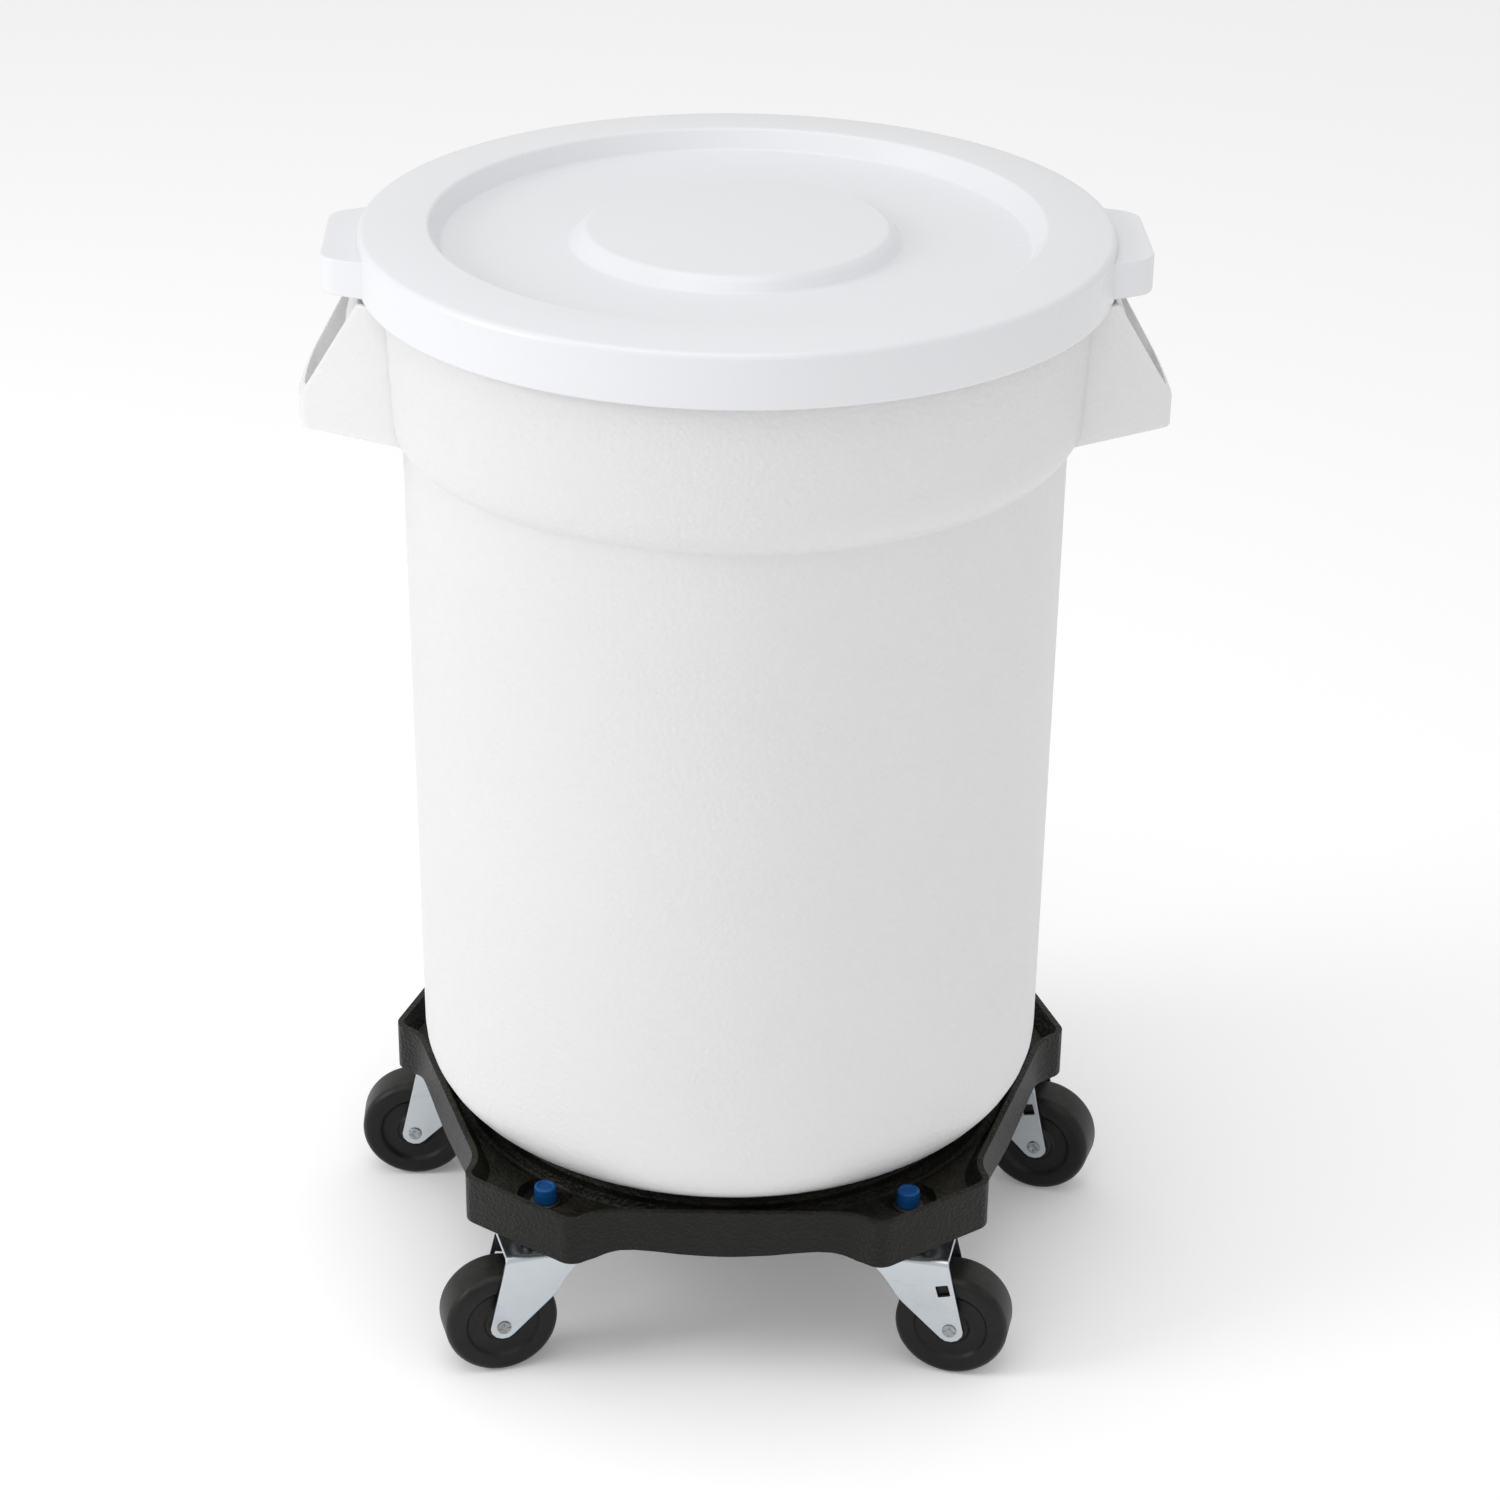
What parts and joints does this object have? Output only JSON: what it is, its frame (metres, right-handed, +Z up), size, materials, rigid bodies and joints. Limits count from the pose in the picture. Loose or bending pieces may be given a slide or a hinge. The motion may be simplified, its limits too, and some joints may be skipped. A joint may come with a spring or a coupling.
{
  "type": "lidded wash bucket on a caster dolly",
  "caption": "Round lidded bucket with side handles, standing on a lobed dolly that rolls on swivel casters.",
  "frame": {"origin": "on the floor, at the centre of the dolly and of the bucket", "axes": "+Z up, -Y the front between two casters, the handles along X, turned 1.9 degrees"},
  "size_m": [0.554, 0.4774, 0.748],
  "materials": {
    "bucket": "white moulded polyethylene, fine texture on the collar",
    "lid": "white moulded polyethylene, slightly cooler than the bucket",
    "dolly": "black moulded polyethylene with an orange-peel surface",
    "wheel": "hard black rubber",
    "zinc": "bright zinc-plated pressed steel",
    "cap": "blue plastic"
  },
  "bodies": {
    "dolly": {"dolly_frame": "dolly", "caster_front_left_stem": "zinc", "caster_front_left_stem_washer": "zinc", "caster_front_left_stem_cap": "cap", "caster_front_left_top_race": "zinc", "caster_front_left_ball_ring": "zinc", "caster_front_right_stem": "zinc", "caster_front_right_stem_washer": "zinc", "caster_front_right_stem_cap": "cap", "caster_front_right_top_race": "zinc", "caster_front_right_ball_ring": "zinc", "caster_side_left_stem": "zinc", "caster_side_left_stem_washer": "zinc", "caster_side_left_stem_cap": "cap", "caster_side_left_top_race": "zinc", "caster_side_left_ball_ring": "zinc", "caster_side_right_stem": "zinc", "caster_side_right_stem_washer": "zinc", "caster_side_right_stem_cap": "cap", "caster_side_right_top_race": "zinc", "caster_side_right_ball_ring": "zinc", "caster_rear_stem": "zinc", "caster_rear_stem_washer": "zinc", "caster_rear_stem_cap": "cap", "caster_rear_top_race": "zinc", "caster_rear_ball_ring": "zinc"},
    "bucket": {"bucket_shell": "bucket"},
    "lid": {"lid": "lid"},
    "swivel_front_left": {"caster_front_left_fork": "zinc", "caster_front_left_axle_rivet": "zinc", "caster_front_left_bushing": "zinc"},
    "wheel_front_left": {"caster_front_left_wheel": "wheel"},
    "swivel_front_right": {"caster_front_right_fork": "zinc", "caster_front_right_axle_rivet": "zinc", "caster_front_right_bushing": "zinc"},
    "wheel_front_right": {"caster_front_right_wheel": "wheel"},
    "swivel_side_left": {"caster_side_left_fork": "zinc", "caster_side_left_axle_rivet": "zinc", "caster_side_left_bushing": "zinc"},
    "wheel_side_left": {"caster_side_left_wheel": "wheel"},
    "swivel_side_right": {"caster_side_right_fork": "zinc", "caster_side_right_axle_rivet": "zinc", "caster_side_right_bushing": "zinc"},
    "wheel_side_right": {"caster_side_right_wheel": "wheel"},
    "swivel_rear": {"caster_rear_fork": "zinc", "caster_rear_axle_rivet": "zinc", "caster_rear_bushing": "zinc"},
    "wheel_rear": {"caster_rear_wheel": "wheel"}
  },
  "joints": [
    {"name": "bucket_lift", "type": "slide", "parent": "dolly", "child": "bucket", "axis": [0, 0, 1], "range_m": [0, 0.15]},
    {"name": "lid_lift", "type": "slide", "parent": "bucket", "child": "lid", "axis": [0, 0, 1], "range_m": [0, 0.15]},
    {"name": "front_left_swivel", "type": "hinge", "parent": "dolly", "child": "swivel_front_left", "pos_m": [-0.1205, -0.16585, 0.092], "axis": [0, 0, 1], "continuous": true},
    {"name": "front_left_roll", "type": "hinge", "parent": "swivel_front_left", "child": "wheel_front_left", "pos_m": [-0.15318, -0.17522, 0.0381], "axis": [0.2756, -0.9613, 0], "continuous": true},
    {"name": "front_right_swivel", "type": "hinge", "parent": "dolly", "child": "swivel_front_right", "pos_m": [0.1205, -0.16585, 0.092], "axis": [0, 0, 1], "continuous": true},
    {"name": "front_right_roll", "type": "hinge", "parent": "swivel_front_right", "child": "wheel_front_right", "pos_m": [0.15375, -0.17292, 0.0381], "axis": [0.2079, 0.9781, 0], "continuous": true},
    {"name": "side_left_swivel", "type": "hinge", "parent": "dolly", "child": "swivel_side_left", "pos_m": [-0.19497, 0.06335, 0.092], "axis": [0, 0, 1], "continuous": true},
    {"name": "side_left_roll", "type": "hinge", "parent": "swivel_side_left", "child": "wheel_side_left", "pos_m": [-0.22895, 0.06216, 0.0381], "axis": [0.0349, -0.9994, 0], "continuous": true},
    {"name": "side_right_swivel", "type": "hinge", "parent": "dolly", "child": "swivel_side_right", "pos_m": [0.19497, 0.06335, 0.092], "axis": [0, 0, 1], "continuous": true},
    {"name": "side_right_roll", "type": "hinge", "parent": "swivel_side_right", "child": "wheel_side_right", "pos_m": [0.22711, 0.05228, 0.0381], "axis": [0.3256, 0.9455, 0], "continuous": true},
    {"name": "rear_swivel", "type": "hinge", "parent": "dolly", "child": "swivel_rear", "pos_m": [0, 0.205, 0.092], "axis": [0, 0, 1], "continuous": true},
    {"name": "rear_roll", "type": "hinge", "parent": "swivel_rear", "child": "wheel_rear", "pos_m": [-0.034, 0.205, 0.0381], "axis": [0, -1, 0], "continuous": true}
  ]
}
